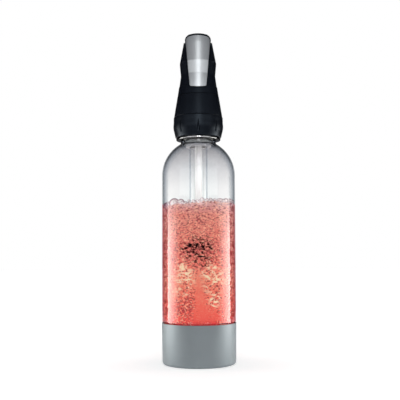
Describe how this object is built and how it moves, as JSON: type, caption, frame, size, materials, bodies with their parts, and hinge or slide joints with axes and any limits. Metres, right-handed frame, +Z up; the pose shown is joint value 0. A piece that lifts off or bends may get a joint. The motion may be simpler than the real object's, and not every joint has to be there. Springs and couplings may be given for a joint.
{
  "type": "soda siphon",
  "caption": "Carbonating bottle with a screw collar, twist handle, vent lever, gas charger in a clear dip tube and drink.",
  "frame": {"origin": "centre of the base on the table, on the bottle's axis", "axes": "+Z up along the bottle's axis, the lever faces -Y, +X to the right seen from the lever's side"},
  "size_m": [0.0848, 0.0848, 0.3788],
  "materials": {
    "clear_pet": "gloss",
    "clear_tube": "gloss",
    "grey_plastic": "satin",
    "red_drink": "gloss",
    "black_plastic": "satin",
    "silver_plastic": "satin",
    "inner_plastic": "satin",
    "stainless": "polished",
    "brass": "satin",
    "seal_rubber": "matte",
    "charger_steel": "satin"
  },
  "bodies": {
    "bottle": {"bottle": "clear_pet", "base_cup": "grey_plastic", "drink": "red_drink"},
    "head": {"neck_gasket": "seal_rubber", "neck_insert": "inner_plastic", "tube_nut": "stainless", "tube_oring": "seal_rubber", "cone_housing": "black_plastic", "cone_screws": "stainless", "bearing_plate": "inner_plastic", "plate_screws": "stainless", "infusion_tube": "clear_tube", "diffuser_cap": "black_plastic", "pin_block": "brass", "piercing_pin": "stainless", "pin_gasket": "seal_rubber", "check_valve": "seal_rubber"},
    "collar": {"screw_collar": "black_plastic"},
    "handle": {"valve_core": "inner_plastic", "core_oring": "seal_rubber", "core_nut": "inner_plastic", "vent_bush": "brass", "band_ring": "black_plastic", "handle_housing": "black_plastic", "lever_pin": "stainless", "vent_spring": "stainless"},
    "lever": {"lever_core": "black_plastic", "lever_cover": "silver_plastic"},
    "stem": {"vent_stem": "stainless", "vent_seal": "seal_rubber"},
    "plunger": {"push_rod": "stainless", "rod_foot": "inner_plastic", "charger": "charger_steel"}
  },
  "joints": [
    {"name": "head_lift", "type": "slide", "parent": "bottle", "child": "head", "axis": [0, 0, 1], "range_m": [0, 0.009]},
    {"name": "collar_turn", "type": "hinge", "parent": "head", "child": "collar", "pos_m": [0, 0, 0.27], "axis": [0, 0, 1], "range_deg": [0, 720.5]},
    {"name": "handle_twist", "type": "hinge", "parent": "head", "child": "handle", "pos_m": [0, 0, 0.3066], "axis": [0, 0, 1], "range_deg": [0, 120.1]},
    {"name": "plunger_lift", "type": "slide", "parent": "head", "child": "plunger", "axis": [0, 0, 1], "range_m": [0, 0.003]},
    {"name": "lever_swing", "type": "hinge", "parent": "handle", "child": "lever", "pos_m": [0, -0.0115, 0.3457], "axis": [-1, 0, 0], "range_deg": [0, 14.02], "stiffness_Nm_per_rad": 0.15, "springref_deg": -17.19},
    {"name": "vent_press", "type": "slide", "parent": "handle", "child": "stem", "axis": [0, 0, -1], "range_m": [0, 0.00281], "stiffness_N_per_m": 600, "springref_m": -0.002, "deforming": ["vent_spring"]}
  ],
  "couplings": [
    {"joint": "collar_turn", "follows": "head_lift", "rad_per_m": 1396.3},
    {"joint": "handle_twist", "follows": "plunger_lift", "rad_per_m": 698.13},
    {"joint": "lever_swing", "follows": "vent_press", "rad_per_m": 86.957}
  ]
}
